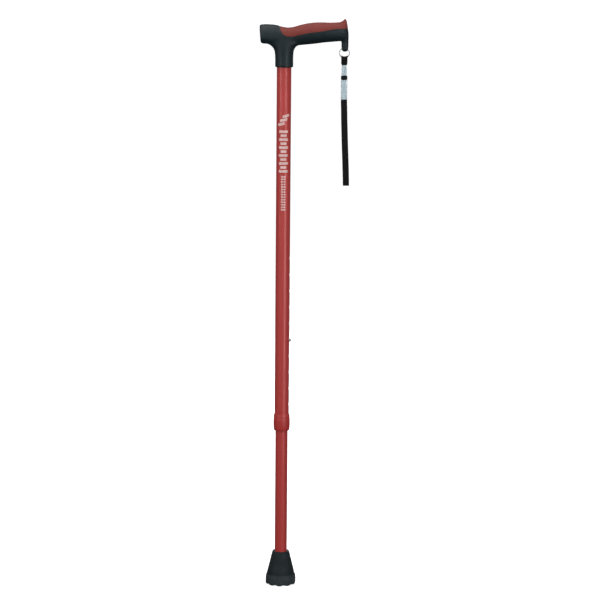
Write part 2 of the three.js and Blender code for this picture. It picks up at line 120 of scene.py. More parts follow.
def skin(name, rows, smooth_below=35, closed=False):
    """A tube of equal rings of points, closed on itself or with a fan at each end."""
    count = len(rows[0])
    verts = [p for row in rows for p in row]
    faces = []
    spans = len(rows) if closed else len(rows) - 1
    for i in range(spans):
        here, there = i * count, ((i + 1) % len(rows)) * count
        for j in range(count):
            k = (j + 1) % count
            faces.append((here + j, here + k, there + k, there + j))
    if not closed:
        for first, order in ((0, -1), ((len(rows) - 1) * count, 1)):
            middle = np.mean(verts[first : first + count], axis=0)
            verts.append(tuple(middle))
            hub = len(verts) - 1
            for j in range(count):
                faces.append((first + j, first + (j + 1) % count, hub)[::order])
    return new_object(name, verts, faces, smooth_below)


def lathe(name, outline, sides=96, smooth_below=35, bend=None):
    """A round solid about the Z axis from an outline of (radius, z), whose ends are on the axis or
    which closes on itself. bend(radius, z, angle) may move each point to another (radius, z)."""
    on_axis = outline[0][0] == 0
    rows = []
    for angle in angles(sides):
        ring = [bend(r, z, angle) for r, z in outline] if bend else outline
        rows.append([(r * math.cos(angle), r * math.sin(angle), z) for r, z in ring])
    count = len(outline)
    verts = [p for row in rows for p in row]
    faces = []
    for i in range(sides):
        here, there = i * count, ((i + 1) % sides) * count
        for j in range(count - 1 if on_axis else count):
            k = (j + 1) % count
            faces.append((here + j, there + j, there + k, here + k))
    return new_object(name, verts, faces, smooth_below)


def use(obj, kind, **settings):
    """Adds a modifier and applies it."""
    modifier = obj.modifiers.new(kind.lower(), kind)
    for key, value in settings.items():
        setattr(modifier, key, value)
    graph = bpy.context.evaluated_depsgraph_get()
    mesh = bpy.data.meshes.new_from_object(obj.evaluated_get(graph))
    obj.modifiers.clear()
    old = obj.data
    obj.data = mesh
    bpy.data.meshes.remove(old)


def combine(obj, other, operation):
    """Joins, cuts or intersects obj with other, which is used up."""
    use(obj, "BOOLEAN", operation=operation, object=other, solver="MANIFOLD")
    bpy.data.objects.remove(other)


def joined(name, parts):
    """One mesh object from several that don't touch."""
    bm = bmesh.new()
    for part in parts:
        bm.from_mesh(part.data)
        bpy.data.objects.remove(part)
    mesh = bpy.data.meshes.new(name)
    bm.to_mesh(mesh)
    bm.free()
    obj = placed(name, mesh)
    shade(obj)
    return obj


def turned_to_x(obj, z):
    """Turns a solid made about the Z axis to lie along +X at a height in millimetres."""
    obj.data.transform(Matrix.Translation((0, 0, z * MM)) @ Matrix.Rotation(math.pi / 2, 4, "Y"))
    return obj


def rod(radius, start, end, sides=32):
    """A round bar between two points."""
    start, end = Vector(start), Vector(end)
    along = (end - start).normalized()
    side = along.orthogonal().normalized()
    up = along.cross(side)
    rows = []
    for place in (start, end):
        ring = [place + radius * (math.cos(a) * side + math.sin(a) * up) for a in angles(sides)]
        rows.append([tuple(p) for p in ring])
    return skin("rod", rows)


def curve_through(pairs):
    """A smooth function through (x, value) pairs: cubic pieces with averaged slopes."""
    xs = np.array([p[0] for p in pairs], float)
    ys = np.array([p[1] for p in pairs], float)
    slopes = np.gradient(ys, xs)

    def value(x):
        i = int(np.clip(np.searchsorted(xs, x) - 1, 0, len(xs) - 2))
        span = xs[i + 1] - xs[i]
        t = np.clip((x - xs[i]) / span, 0, 1)
        a = (1 + 2 * t) * (1 - t) ** 2 * ys[i] + t * (1 - t) ** 2 * span * slopes[i]
        b = t * t * (3 - 2 * t) * ys[i + 1] - t * t * (1 - t) * span * slopes[i + 1]
        return float(a + b)

    return value


def distances(points):
    """How far along a line of points each of them is."""
    gaps = np.linalg.norm(np.diff(points, axis=0), axis=1)
    return np.concatenate([[0], np.cumsum(gaps)])


def path_through(points, step):
    """Points at most a step apart on a smooth curve through a list of points."""
    along = distances(points)
    axes = [curve_through(list(zip(along, values))) for values in zip(*points)]
    count = math.ceil(along[-1] / step) + 1
    return np.array([[axis(d) for axis in axes] for d in np.linspace(0, along[-1], count)])


def square_to(way, near):
    """Two directions square to a way, the first as near as it can be to a given one."""
    way = way / np.linalg.norm(way)
    side = near - (way @ near) * way
    side /= np.linalg.norm(side)
    return side, np.cross(way, side)


def corners(node):
    """A node's lowest and highest corners in millimetres."""
    low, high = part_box(node)
    return [v / MM for v in low], [v / MM for v in high]


def middle_height(node):
    low, high = corners(node)
    return (low[2] + high[2]) / 2


def smoothstep(x, low, high):
    t = min(1, max(0, (x - low) / (high - low)))
    return t * t * (3 - 2 * t)


def between(first, last, share):
    return first + (last - first) * share


def arc(centre, radius, first, last, steps):
    """Points of (r, z) on a circle, between two angles in degrees."""
    points = []
    for step in range(steps + 1):
        angle = math.radians(first + (last - first) * step / steps)
        points.append((centre[0] + radius * math.cos(angle), centre[1] + radius * math.sin(angle)))
    return points


def fit_out(obj, body, slot, material, *nodes):
    """Gives a piece its material and the body that it rides on, and hides the CAD nodes that it
    stands for. Its slot is not used."""
    obj.data.materials.clear()
    obj.data.materials.append(material)
    if body:
        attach(obj, body)
    if nodes:
        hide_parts(*nodes)


# ---- webbing, and the wrist loop that hangs free ----

WEB_WIDTH = 9.6
WEB_T = 1.2
SELVEDGE = 0.9  # width of the firm edge of the webbing
WEAVE_STEP = 0.9  # length of one step of the weave, along the webbing
THREAD_PITCH = 0.62  # from thread to thread, across the webbing
WARP_PITCH = 0.42
HERRINGBONE = 1.3  # width of one leg of the weave's zigzag
WEAVE_DEPTH = 0.035
RIB_FLANK = 0.5, 1.3  # where the middle rib starts to fall and ends, from the middle line
RIB_RISE, BODY_DIP = 0.14, 0.16  # as shares of the thickness
WEB_POINTS = 22  # across half of the webbing
WRIST_LOOP_STEP = 0.5
WRIST_FRONT_LEG = [
    (0.09135, -0.001, 0.7586), (0.0915, -0.0015, 0.752), (0.09185, -0.0027, 0.742),
    (0.09215, -0.0043, 0.728), (0.0928, -0.0057, 0.710), (0.0934, -0.0065, 0.692),
    (0.0942, -0.0068, 0.674), (0.09485, -0.0067, 0.658), (0.0953, -0.0062, 0.645),
    (0.0956, -0.005, 0.6356), (0.09575, -0.0029, 0.6296),
]
WRIST_LOWEST = (0.0958, 0, 0.6276)


def web_section(width, thick):
    """The webbing's cross-section, as (across, through) points: round edges, a firm selvedge
    along each side and a low rib down the middle."""
    half = width / 2
    count = WEB_POINTS
    places = [half * math.sin(math.pi / 2 * k / count) for k in range(-count, count + 1)]
    top = []
    for s in places:
        from_edge = half - abs(s)
        round_off = math.sqrt(max(0, 1 - max(0, 1 - from_edge / (thick / 2)) ** 2))
        dip = smoothstep(from_edge, SELVEDGE * 0.8, SELVEDGE * 1.3)
        rib = 1 - smoothstep(abs(s), *RIB_FLANK)
        top.append((s, thick / 2 * round_off * (1 - BODY_DIP * dip + RIB_RISE * rib)))
    return top + [(s, -t) for s, t in reversed(top[1:-1])]


def webbing(name, path, width=WEB_WIDTH, thick=WEB_T, lift=None):
    """Webbing swept along a path in the YZ plane, its width along X. width and lift may be
    functions: of the distance left to the nearer end, and of a point of the webbing."""
    along = distances(path)
    ahead = np.gradient(path, along, axis=0)
    rows, marks = [], []
    for place, way, distance in zip(path, ahead, along):
        side, out = square_to(way, (1, 0, 0))
        here = width(min(distance, along[-1] - distance)) if callable(width) else width
        row = []
        for s, t in web_section(here, thick):
            cross = math.cos(math.pi * s / THREAD_PITCH) * math.cos(math.pi * distance / WEAVE_STEP)
            edge = smoothstep(WEB_WIDTH / 2 - abs(s), SELVEDGE * 0.7, SELVEDGE * 1.4)
            raised = t + math.copysign(WEAVE_DEPTH, t) * cross * edge * (abs(t) > 0.2)
            point = place + s * side + raised * out
            row.append(lift(point) if lift else point)
            marks.append((s, distance))
        rows.append(row)
    obj = skin(name, rows, 60)
    for index, label in enumerate(("web_across", "web_along")):
        values = np.zeros(len(obj.data.vertices), np.float32)
        values[: len(marks)] = [m[index] for m in marks]
        values[len(marks) :] = [marks[0][index], marks[-1][index]][: len(values) - len(marks)]
        obj.data.attributes.new(label, "FLOAT", "POINT").data.foreach_set("value", values)
    return obj


def add_wrist_loop():
    back_leg = [(x, -y, z) for x, y, z in reversed(WRIST_FRONT_LEG)]
    route = np.array([*WRIST_FRONT_LEG, WRIST_LOWEST, *back_leg]) / MM
    path = path_through(route, WRIST_LOOP_STEP)
    loop = webbing("wrist_loop_webbing", path)
    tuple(WRIST_FRONT_LEG[0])
    return loop


WRIST_LOOP = add_wrist_loop()


# ---- materials ----

MIX_SHARE, MIX_FIRST, MIX_SECOND, MIXED = 0, 6, 7, 2  # the sockets of a colour mix


def colour(red, green, blue):
    """A linear colour from display values of 0 to 255."""
    values = [v / 255 for v in (red, green, blue)]
    linear = [v / 12.92 if v <= 0.04045 else ((v + 0.055) / 1.055) ** 2.4 for v in values]
    return (*linear, 1)


class Nodes:
    """The nodes of a material or the sky. Each call adds a node and gives its output, to pass to
    the next."""

    def __init__(self, made, shader, **numbers):
        made.use_nodes = True
        self.made = made
        self.nodes = made.node_tree.nodes
        self.links = made.node_tree.links
        self.shader = self.nodes[shader]
        for key, value in numbers.items():
            self.shader.inputs[key.replace("_", " ")].default_value = value

    def node(self, kind, inputs, output=0, **settings):
        """A node whose inputs are other nodes' outputs or plain values."""
        node = self.nodes.new("ShaderNode" + kind)
        for key, value in settings.items():
            setattr(node, key, value)
        for key, value in inputs.items():
            if isinstance(value, bpy.types.NodeSocket):
                self.links.new(value, node.inputs[key])
            else:
                node.inputs[key].default_value = value
        return node.outputs[output]

    def maths(self, operation, a, b=0.0, c=0.0):
        return self.node("Math", {0: a, 1: b, 2: c}, operation=operation)

    def span(self, value, low, high, to_low=0.0, to_high=1.0):
        inputs = {
            "Value": value, "From Min": low, "From Max": high, "To Min": to_low, "To Max": to_high,
        }
        return self.node("MapRange", inputs)


class Material(Nodes):
    """A surface: its colour, roughness and bumps."""

    def __init__(self, name, **numbers):
        super().__init__(bpy.data.materials.new(name), "Principled BSDF", **numbers)

    def place(self, stretch=(1, 1, 1)):
        """The point of the surface, in metres in the object's own frame, stretched."""
        point = self.node("TexCoord", {}, "Object")
        return self.node("Mapping", {"Vector": point, "Scale": stretch})

    def noise(self, size_mm, detail, stretch=(1, 1, 1)):
        """Noise from 0 to 1 whose lumps are about size_mm wide."""
        inputs = {"Vector": self.place(stretch), "Scale": 1000 / size_mm, "Detail": detail}
        return self.node("TexNoise", inputs)

    def mix(self, share, first, second):
        """Two colours mixed by a share."""
        inputs = {MIX_SHARE: share, MIX_FIRST: first, MIX_SECOND: second}
        return self.node("Mix", inputs, MIXED, data_type="RGBA")

    def spread(self, noise, to_low=0.0, to_high=1.0):
        """A noise stretched so that most of it lies between two values."""
        return self.span(noise, 0.3, 0.7, to_low, to_high)

    def clouded(self, size_mm, detail, first, second):
        """Two display colours that pass into each other in clouds."""
        clouds = self.spread(self.noise(size_mm, detail))
        return self.mix(clouds, colour(*first), colour(*second))

    def attribute(self, name):
        return self.node("Attribute", {}, "Fac", attribute_name=name)

    def finish(self, base=None, roughness=None, height=None, depth_mm=0.05):
        """Links the colour, the roughness and the bump height (0 to 1, depth_mm deep)."""
        if base:
            self.links.new(base, self.shader.inputs["Base Color"])
        if roughness:
            self.links.new(roughness, self.shader.inputs["Roughness"])
        if height:
            inputs = {"Height": height, "Strength": 1.0, "Distance": depth_mm * MM}
            self.links.new(self.node("Bump", inputs, "Normal"), self.shader.inputs["Normal"])
        return self.made


def moulded(name, main, worn, roughness, grain_mm, depth_mm, **numbers):
    """Moulded plastic or rubber: cloudy tint, fine spark-eroded grain, uneven sheen."""
    mat = Material(name, **numbers)
    tint = mat.clouded(14, 4, main, worn)
    fine = mat.noise(grain_mm, 5)
    specks = mat.span(fine, 0.35, 0.65, 0.93, 1.07)
    grey = mat.node("CombineXYZ", {0: specks, 1: specks, 2: specks})
    base = mat.node("VectorMath", {0: tint, 1: grey}, operation="MULTIPLY")
    sheen = mat.spread(mat.noise(6, 4), roughness * 0.86, roughness * 1.16)
    return mat.finish(base, sheen, fine, depth_mm)


def red_coating(name, main, dark, roughness):
    """A coloured coat on aluminium: faint drawn streaks along the tube and orange peel."""
    mat = Material(name, Coat_Weight=0.25, Coat_Roughness=0.22, Metallic=0.12)
    streaks = mat.noise(1.1, 5, (1, 1, 0.02))
    clouds = mat.noise(22, 3)
    share = mat.maths("MULTIPLY", mat.spread(streaks), mat.span(clouds, 0.25, 0.75, 0.4, 1))
    base = mat.mix(share, colour(*main), colour(*dark))
    scuffs = mat.noise(0.5, 6, (1, 1, 0.01))
    rough = mat.span(scuffs, 0.35, 0.75, roughness * 0.85, roughness * 1.3)
    peel = mat.noise(0.9, 2)
    return mat.finish(base, rough, peel, 0.012)


def bare_metal(name, bright, dull, roughness, stretch=(1, 1, 0.03), **numbers):
    """Bare or plated metal with fine brush lines and faint clouding."""
    mat = Material(name, **{"Metallic": 1.0, **numbers})
    lines = mat.noise(0.4, 6, stretch)
    base = mat.clouded(5, 3, bright, dull)
    rough = mat.spread(lines, roughness * 0.75, roughness * 1.3)
    return mat.finish(base, rough, lines, 0.006)


def woven(name, thread, shadow, marked=True):
    """Black webbing: a herringbone of fine threads, laid out by the marks across and along it, or
    by the axes X and Z where it has no marks."""
    mat = Material(name, Sheen_Weight=0.08, Sheen_Roughness=0.5, Specular_IOR_Level=0.15)
    if marked:
        across, along = mat.attribute("web_across"), mat.attribute("web_along")
    else:
        point = mat.place((1000, 1000, 1000))
        across, along = [mat.node("SeparateXYZ", {0: point}, axis) for axis in ("X", "Z")]
    slant = mat.maths("MULTIPLY_ADD", mat.maths("PINGPONG", across, HERRINGBONE), 0.9, along)
    twill = mat.maths("SINE", mat.maths("MULTIPLY", slant, 2 * math.pi / THREAD_PITCH))
    warp = mat.maths("SINE", mat.maths("MULTIPLY", across, 2 * math.pi / WARP_PITCH))
    weave = mat.span(mat.maths("MULTIPLY_ADD", warp, 0.45, twill), -1.4, 1.4)
    fuzz = mat.noise(0.25, 4)
    height = mat.maths("MULTIPLY_ADD", fuzz, 0.3, weave)
    base = mat.mix(mat.span(height, 0.1, 1.1), colour(*shadow), colour(*thread))
    rough = mat.spread(fuzz, 0.72, 0.9)
    return mat.finish(base, rough, height, 0.14)


def scuffed_rubber(name, main, worn, scuffed, scuff_top):
    """Matte rubber, paler where the floor rubs it, below a height in millimetres."""
    mat = Material(name, Specular_IOR_Level=0.18)
    tint = mat.clouded(14, 4, main, worn)
    height = mat.node("SeparateXYZ", {0: mat.place((1000, 1000, 1000))}, "Z")
    low = mat.span(height, scuff_top, scuff_top - 4)
    patches = mat.span(mat.noise(2.6, 5), 0.3, 0.62, 0.45, 1)
    base = mat.mix(mat.maths("MULTIPLY", low, patches), tint, colour(*scuffed))
    fine = mat.noise(0.5, 5)
    rough = mat.spread(mat.noise(6, 4), 0.54, 0.7)
    return mat.finish(base, rough, fine, 0.03)


def soft_grip(name, main, dark, deep):
    """Soft-touch elastomer: fine leather-like pebbling, with painted shade that darkens its
    valleys.
    """
    mat = Material(name, Specular_IOR_Level=0.2, Sheen_Weight=0.05, Sheen_Roughness=0.4)
    cells = {"Vector": mat.place(), "Scale": 1000 / 0.85}
    pebbles = mat.node("TexVoronoi", cells, "Distance", feature="SMOOTH_F1")
    tint = mat.clouded(18, 4, main, dark)
    # painted shade: the pebbles' valleys are mixed towards the darker colour deep
    painted_valley_shade = mat.span(pebbles, 0.15, 0.75, 0.0, 0.22)
    base = mat.mix(painted_valley_shade, tint, colour(*deep))
    height = mat.maths("SUBTRACT", 1.0, pebbles)
    rough = mat.spread(mat.noise(3, 4), 0.5, 0.66)
    return mat.finish(base, rough, height, 0.05)


HANDLE_PLASTIC = moulded(
    "handle_plastic", (11, 26, 30), (17, 33, 38), 0.52, 0.45, 0.012, Specular_IOR_Level=0.3
)
# the third colour is the painted shade in the pebbles' valleys
GRIP_RUBBER = soft_grip("grip_rubber", (120, 54, 48), (112, 48, 41), (92, 34, 32))
TUBE_RED = red_coating("tube_red", (178, 56, 53), (163, 49, 46), 0.45)
COLLAR_RED = moulded("collar_red", (172, 50, 46), (160, 46, 43), 0.38, 0.4, 0.01)
FOOT_RUBBER = scuffed_rubber("foot_rubber", (18, 26, 29), (29, 37, 40), (50, 57, 60), 17)
KEEPER_PLASTIC = moulded(
    "keeper_plastic", (1, 9, 15), (4, 14, 20), 0.42, 0.35, 0.01, Specular_IOR_Level=0.2
)
NYLON = moulded("nylon", (214, 211, 202), (200, 197, 186), 0.45, 0.4, 0.01)
SPRING_STEEL = bare_metal("spring_steel", (176, 180, 184), (150, 154, 158), 0.3)
BUTTON_STEEL = bare_metal("button_steel", (206, 210, 214), (184, 188, 192), 0.16, (1, 1, 1))
RING_CHROME = bare_metal(
    "ring_chrome", (206, 209, 212), (186, 190, 194), 0.28, (1, 1, 1), Metallic=0.8
)
STRAP_SILVER = bare_metal("strap_silver", (195, 211, 218), (176, 195, 203), 0.36, Metallic=0.35)
WEBBING = woven("webbing", (17, 17, 20), (5, 5, 7))
CORE_WEBBING = woven("core_webbing", (17, 17, 20), (5, 5, 7), marked=False)
PRINT_INK = moulded("print_ink", (222, 190, 186), (204, 166, 162), 0.5, 0.5, 0.008)


# ---- the handle ----

BAR_TOP = curve_through([
    (-38, 870.9), (-31, 871.9), (-21, 871.8), (-12, 870.9), (-4, 868.6), (5, 867.2), (13, 868),
    (24, 871.2), (36, 873.8), (48, 875.1), (60, 875.3), (70, 875), (79, 875.5), (84.5, 876),
    (88.4, 878), (91, 880.3), (92.8, 880.7), (94.4, 877.5), (96, 869), (97.3, 859),
])
BAR_BOTTOM = curve_through([
    (-38, 843), (-31, 842.2), (-24, 842.1), (-12, 841.4), (0, 840.6), (12, 840.2), (24, 840.4),
    (36, 841.7), (48, 843), (60, 844.7), (72, 845.8), (84, 846.9), (97.3, 847.6),
])
BAR_HALF_WIDTH = curve_through([
    (-38, 12.6), (-26, 13.4), (-10, 13.6), (6, 12.8), (20, 13.4), (40, 14.8), (58, 15), (74, 13.8),
    (86, 12.4), (92, 11), (97.3, 7),
])
HEEL_X, FRONT_X = -38, 97.3
HEEL_ROUND = 2.6
HEEL_ROUND_STEPS = 12
HEEL_SLANT = 0.08
HEEL_SLANT_FROM, HEEL_SLANT_SPAN = -14, 24  # it grows from there towards the heel
FULLNESS = 0.82  # below 1, the section is fuller than an ellipse
HEEL_FULLNESS = 0.1  # how much fuller the lower half gets towards the heel
HEEL_FULLER = 5, 25  # where that starts and ends, behind the shaft's axis
CROWN_FULLNESS = 1.22, 0.95  # the upper half's fullness, at the heel and further forward
BELLY = 0.36, 0.52  # how high up the bar is widest, as a share of its height, at the heel and front
CROWN_SPAN, BELLY_SPAN = (-20, 6), (-14, 26)  # where along X each passes from heel to front
INSERT_T = 3.2
HORN_BACK = 84
NECK_BOTTOM, NECK_TOP = 807, 857
NECK_R = 13.9
NECK_EDGE = 1.6  # rounding of its lower rim
NECK_NARROWS_FROM, NECK_NARROWS_BY = 838, 1.2
NECK_BACK = curve_through([
    (807, -13.7), (818, -13.7), (824, -13.9), (829, -14.4), (833, -15.4), (836.5, -17.4),
    (839.5, -20.4), (842.4, -25.4), (846, -28.5), (857, -29),
])
NECK_FRONT = curve_through([
    (807, 13.9), (824, 13.9), (829, 14.2), (833, 15), (836, 16.4), (838.6, 18.7), (840.6, 22),
    (842.4, 26.4), (846, 28), (857, 28),
])
PRONG_BACK, PRONG_BOTTOM, PRONG_TOP = 86.6, 831, 858
PRONG_HALF_Y = 5
PRONG_TIP = 4.6  # rounding of its lower end
PRONG_FLARE_FROM, PRONG_FLARE = 845, 0.3
UNDERCUT = 0.16  # how much the bar's sides draw in towards its underside
SEAM = 0.12  # half the groove between the insert and the body
INSERT_GAP = 0.15  # under the insert
SOCKET_R = 11.4
SOCKET_CUT_FROM = 780  # below the neck, so that its cutter comes out at the bottom
EYE_R = 2.6
EYE_DROP = 2.1  # from the top of the ring to the middle of its eye in the prong
EYE_CUT_PAST = 4
SKIN_GRAIN = 0.7  # how finely the bar, neck and prong are melted together
SKIN_SMOOTHING, FILLET_SMOOTHING = 9, 90  # passes
FILLET_LOW, FILLET_HIGH = (824, 836), (856, 862)  # heights where the fillets fade in and out
FILLET_REACH = 26, 40  # and distances from the shaft's axis where they fade out
INSERT_EDGE = [
    (-7.2, 869), (-5.8, 863.5), (-2.6, 858.2), (2.4, 854.7), (9, 853.6), (20, 855.4),
    (38, 859.4), (58, 861.9), (77, 865.4), (90, 866.1), (106, 866.3),
]
INSERT_EDGE_STEP = 1.04
INSERT_ZONE_BACK, INSERT_ZONE_TOP, INSERT_ZONE_HALF_Y = -8, 890, 30


def superellipse(angle, fullness):
    c, s = math.cos(angle), math.sin(angle)
    return math.copysign(abs(c) ** fullness, c), math.copysign(abs(s) ** fullness, s)


def grip_bar(name, inset=0.0, around=88, along=170):
    """The bar of the handle, from its heel to its front end, inset all round."""
    start, end = HEEL_X + inset, (HORN_BACK - inset if inset else FRONT_X)
    stations = []
    for step in range(HEEL_ROUND_STEPS + 1):
        turn = math.pi / 2 * step / HEEL_ROUND_STEPS
        inwards = HEEL_ROUND * (1 - math.cos(turn))
        stations.append((start + inwards, HEEL_ROUND * (1 - math.sin(turn))))
    first = stations[-1][0]
    for step in range(1, along + 1):
        stations.append((first + (end - first) * (step / along) ** 0.9, 0))
    rows = []
    for x, pull in stations:
        top, bottom = BAR_TOP(x) - inset - pull, BAR_BOTTOM(x) + inset + pull
        half = BAR_HALF_WIDTH(x) - inset - pull
        belly = between(*BELLY, smoothstep(x, *BELLY_SPAN))
        middle = bottom + belly * (top - bottom)
        crown = between(*CROWN_FULLNESS, smoothstep(x, *CROWN_SPAN))
        fullness = FULLNESS - HEEL_FULLNESS * smoothstep(-x, *HEEL_FULLER)
        lean = HEEL_SLANT * min(1, max(0, (HEEL_SLANT_FROM - x) / HEEL_SLANT_SPAN))
        row = []
        for angle in angles(around):
            c, s = superellipse(angle, fullness if angle > math.pi else crown)
            z = middle + s * (top - middle if s > 0 else middle - bottom)
            tuck = 1 - UNDERCUT * max(0, -s) ** 1.5 * (0 if inset else 1)
            row.append((x + lean * (BAR_TOP(x) - z), c * half * tuck, z))
        rows.append(row)
    return skin(name, rows)


def neck(name):
    """The neck, from its lower rim up into the bar."""
    rows = []
    for step in range(90):
        z = NECK_BOTTOM + (NECK_TOP - NECK_BOTTOM) * (step / 89) ** 1.3
        edge = max(0, NECK_EDGE - (z - NECK_BOTTOM))
        pull = NECK_EDGE - math.sqrt(NECK_EDGE**2 - edge**2)
        back, front = NECK_BACK(z), NECK_FRONT(z)
        narrow = smoothstep(z, NECK_NARROWS_FROM, NECK_TOP) * NECK_NARROWS_BY
        half_x, half_y = (front - back) / 2 - pull, NECK_R - pull - narrow
        middle = (front + back) / 2
        rows.append([
            (middle + math.cos(a) * half_x, math.sin(a) * half_y, z) for a in angles(96)
        ])
    return skin(name, rows)


def prong(name):
    """The prong that holds the split ring, wider where it grows out of the bar."""
    half_x = (FRONT_X - PRONG_BACK) / 2
    middle = (FRONT_X + PRONG_BACK) / 2
    rows = []
    for step in range(1, 61):
        z = PRONG_BOTTOM + (PRONG_TOP - PRONG_BOTTOM) * (step / 60) ** 1.6
        edge = max(0, PRONG_TIP - (z - PRONG_BOTTOM)) / PRONG_TIP
        size = math.sqrt(1 - edge**2)
        widen = max(0, z - PRONG_FLARE_FROM) * PRONG_FLARE
        row = []
        for angle in angles(64):
            c, s = superellipse(angle, FULLNESS)
            x = middle - widen / 4 + size * c * (half_x + widen / 4)
            row.append((x, size * s * (PRONG_HALF_Y + widen), z))
        rows.append(row)
    return skin(name, rows)


def insert_zone(name, grow):
    """The zone that the insert covers, as a slab through the handle."""
    outline = [(x - grow, z - grow) for x, z in path_through(INSERT_EDGE, INSERT_EDGE_STEP)]
    front, back = INSERT_EDGE[-1][0], INSERT_ZONE_BACK - grow
    outline += [(front, INSERT_ZONE_TOP), (back, INSERT_ZONE_TOP), (back, INSERT_EDGE[0][1] + 3)]
    sides = -INSERT_ZONE_HALF_Y, INSERT_ZONE_HALF_Y
    return skin(name, [[(x, y, z) for x, z in outline] for y in sides])


def whole_handle():
    """Bar, neck and prong melted into one skin, with soft fillets where they meet."""
    body = grip_bar("handle")
    for part in (neck("neck"), prong("prong")):
        combine(body, part, "UNION")
    use(body, "REMESH", mode="VOXEL", voxel_size=SKIN_GRAIN * MM, use_smooth_shade=True)
    use(body, "SMOOTH", factor=0.5, iterations=SKIN_SMOOTHING)
    fillet = body.vertex_groups.new(name="fillet")
    for vertex in body.data.vertices:
        x, _, z = vertex.co / MM
        upright = smoothstep(z, *FILLET_LOW) * (1 - smoothstep(z, *FILLET_HIGH))
        share = upright * (1 - smoothstep(abs(x), *FILLET_REACH))
        fillet.add([vertex.index], share, "REPLACE")
    use(body, "SMOOTH", factor=0.5, iterations=FILLET_SMOOTHING, vertex_group="fillet")
    body.vertex_groups.clear()
    return body


def add_handle():
    """The body and its insert, parted by a seam, with the tube's socket and the ring's eye."""
    body = whole_handle()
    insert = placed("grip_insert_soft", body.data.copy())
    combine(insert, insert_zone("zone", -SEAM), "INTERSECT")
    combine(insert, grip_bar("core", INSERT_T, 48, 80), "DIFFERENCE")
    combine(body, insert_zone("zone", SEAM), "DIFFERENCE")
    combine(body, grip_bar("core", INSERT_T + INSERT_GAP, 48, 80), "UNION")
    _, tube_top = corners("upper_tube")
    socket = rod(SOCKET_R, (0, 0, SOCKET_CUT_FROM), (0, 0, tube_top[2] + 0.3), 96)
    combine(body, socket, "DIFFERENCE")
    _, ring_high = corners("split_ring")
    eye_z = ring_high[2] - EYE_DROP
    eye = rod(EYE_R, (PRONG_BACK - EYE_CUT_PAST, 0, eye_z), (FRONT_X + EYE_CUT_PAST, 0, eye_z))
    combine(body, eye, "DIFFERENCE")
    body.name = "handle_shell"
    for obj in (body, insert):
        shade(obj, 40)
    fit_out(body, "upper_shaft", "handle_plastic", HANDLE_PLASTIC, "handle_body")
    fit_out(insert, "upper_shaft", "grip_rubber", GRIP_RUBBER, "grip_insert")


add_handle()


# ---- the two tubes and the print on the upper one ----

HOLE_R = 3.3
HOLE_PITCH = 25.4
HOLES_BELOW = 4  # spare holes under the one in use
HOLES_ABOVE = 5
HOLE_RIM = 0.4  # how far the hole's eased edge reaches out
HOLE_EASE = 0.3  # how deep the easing goes
HOLE_CUT_FROM, HOLE_CUT_PAST = 4, 6  # from the tube's axis, and past its surface
UPPER_WALL, LOWER_WALL = 1.25, 1.2
TUBE_EDGE = 0.25
PRINT_STANDOFF = 0.02
PRINT_T = 0.06
BARS_FROM, BAR_STEP, BAR_TALL, BAR_SLANT = 718, 6.2, 4.2, 2.6
BLOCKS, BLOCKS_FROM, BLOCK_STEP, BLOCK_TALL = 11, 708, 6.05, 3.9
DASHES, DASHES_FROM, DASH_STEP, DASH_TALL = 14, 640, 3.9, 2.5
BAR_CORNER, BLOCK_CORNER, DASH_CORNER = 1.2, 0.9, 0.4


def pipe(name, outer, inner, bottom, top, levels):
    """A tube with eased edges and rings of points at some levels."""
    e = TUBE_EDGE
    outline = [(inner + e, bottom), (outer - e, bottom), (outer, bottom + e)]
    outline += [(outer, z) for z in levels]
    outline += [(outer, top - e), (outer - e, top), (inner + e, top), (inner, top - e)]
    outline += [(inner, z) for z in reversed(levels)]
    outline += [(inner, bottom + e)]
    return lathe(name, outline)


def hole_cutter(z, surface):
    """A cutter for one hole through the +X wall, with its rim eased."""
    rim, end = HOLE_R + HOLE_RIM, surface + HOLE_CUT_PAST
    outline = [
        (0, HOLE_CUT_FROM), (HOLE_R, HOLE_CUT_FROM), (HOLE_R, surface - HOLE_EASE),
        (rim, surface + HOLE_EASE), (rim, end), (0, end),
    ]
    return turned_to_x(lathe("hole", outline, 40), z)


def add_tubes():
    """The upper tube with its row of lock holes, and the lower one with the button's hole."""
    low, high = corners("upper_tube")
    button_z = middle_height("snap_button")
    holes = [button_z + n * HOLE_PITCH for n in range(-HOLES_BELOW, HOLES_ABOVE + 1)]
    levels = [z - HOLE_PITCH / 2 for z in holes] + [holes[-1] + HOLE_PITCH / 2]
    upper = pipe("upper_tube_drawn", high[0], high[0] - UPPER_WALL, low[2], high[2], levels)
    combine(upper, joined("holes", [hole_cutter(z, high[0]) for z in holes]), "DIFFERENCE")
    shade(upper)
    fit_out(upper, "upper_shaft", "red_tube", TUBE_RED, "upper_tube")

    low, high = corners("lower_tube")
    levels = [button_z - HOLE_PITCH / 2, button_z + HOLE_PITCH / 2]
    lower = pipe("lower_tube_drawn", high[0], high[0] - LOWER_WALL, low[2], high[2], levels)
    combine(lower, hole_cutter(button_z, high[0]), "DIFFERENCE")
    shade(lower)
    fit_out(lower, "lower_shaft", "red_tube", TUBE_RED, "lower_tube")


